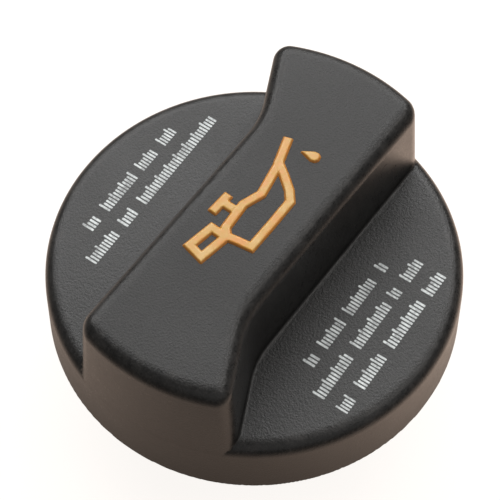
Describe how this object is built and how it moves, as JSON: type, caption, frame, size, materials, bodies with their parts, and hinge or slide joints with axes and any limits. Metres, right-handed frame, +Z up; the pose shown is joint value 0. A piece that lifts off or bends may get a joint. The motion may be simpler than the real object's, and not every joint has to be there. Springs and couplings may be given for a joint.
{
  "type": "oil filler cap",
  "caption": "Round black plastic engine oil filler cap with a tall S-sided grip bar, a raised oil-can sign, a bayonet insert and a rubber sealing ring.",
  "frame": {"origin": "middle of the insert's foot, on which the cap stands", "axes": "+Z up through the grip, along the cap's turning axis; +X along the grip bar, towards the spout of the oil-can sign; +Y to the handle-and-knob side of the sign"},
  "size_m": [0.0606, 0.0606, 0.0391],
  "materials": {
    "cap_plastic": "fine-grained black glass-filled nylon",
    "insert_plastic": "smooth black glass-filled nylon",
    "seal_rubber": "moulded oil-proof rubber",
    "sign_paint": "orange-yellow foil on the raised oil-can sign",
    "print_ink": "light grey pad print, small plain upright bars in place of lettering"
  },
  "bodies": {
    "root": {"outer_cap": "cap_plastic", "bayonet_insert": "insert_plastic", "sealing_ring": "seal_rubber"}
  },
  "joints": []
}
